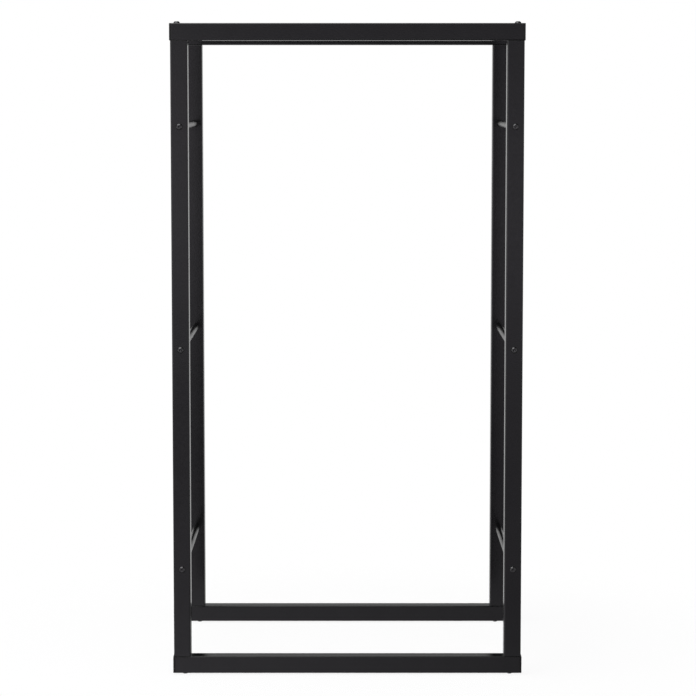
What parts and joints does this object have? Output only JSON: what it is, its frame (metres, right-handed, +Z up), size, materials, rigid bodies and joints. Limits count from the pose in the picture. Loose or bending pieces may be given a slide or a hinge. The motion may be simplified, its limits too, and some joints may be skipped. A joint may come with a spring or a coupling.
{
  "type": "firewood rack",
  "caption": "Tall open firewood rack: front and rear frames of black square steel tube, tied front to back by round side rungs with button-head screws. Logs stack between them.",
  "frame": {"origin": "on the floor, under the middle of the rack, level with the flats of the bottom screw heads", "axes": "+Z up, front of the rack towards -Y, left of the rack towards -X"},
  "size_m": [0.513, 0.4054, 0.9555],
  "materials": {
    "frame_coat": "semi-gloss black powder coat",
    "rung_coat": "semi-gloss black powder coat",
    "screw_black": "black zinc, glossy",
    "cap_plastic": "moulded black plastic, fine grain",
    "block_steel": "plain machined steel"
  },
  "bodies": {
    "root": {"front_left_upright": "frame_coat", "front_left_bottom_thread_block": "block_steel", "front_left_top_thread_block": "block_steel", "front_right_upright": "frame_coat", "front_right_bottom_thread_block": "block_steel", "front_right_top_thread_block": "block_steel", "front_bottom_rail": "frame_coat", "front_bottom_left_end_cap": "cap_plastic", "front_bottom_right_end_cap": "cap_plastic", "front_top_rail": "frame_coat", "front_top_left_end_cap": "cap_plastic", "front_top_right_end_cap": "cap_plastic", "rear_left_upright": "frame_coat", "rear_left_bottom_thread_block": "block_steel", "rear_left_top_thread_block": "block_steel", "rear_right_upright": "frame_coat", "rear_right_bottom_thread_block": "block_steel", "rear_right_top_thread_block": "block_steel", "rear_bottom_rail": "frame_coat", "rear_bottom_left_end_cap": "cap_plastic", "rear_bottom_right_end_cap": "cap_plastic", "rear_top_rail": "frame_coat", "rear_top_left_end_cap": "cap_plastic", "rear_top_right_end_cap": "cap_plastic", "left_bottom_rung": "rung_coat", "left_middle_rung": "rung_coat", "left_top_rung": "rung_coat", "right_bottom_rung": "rung_coat", "right_middle_rung": "rung_coat", "right_top_rung": "rung_coat", "front_rung_screws": "screw_black", "rear_rung_screws": "screw_black", "bottom_rail_screws": "screw_black", "top_rail_screws": "screw_black"}
  },
  "joints": []
}
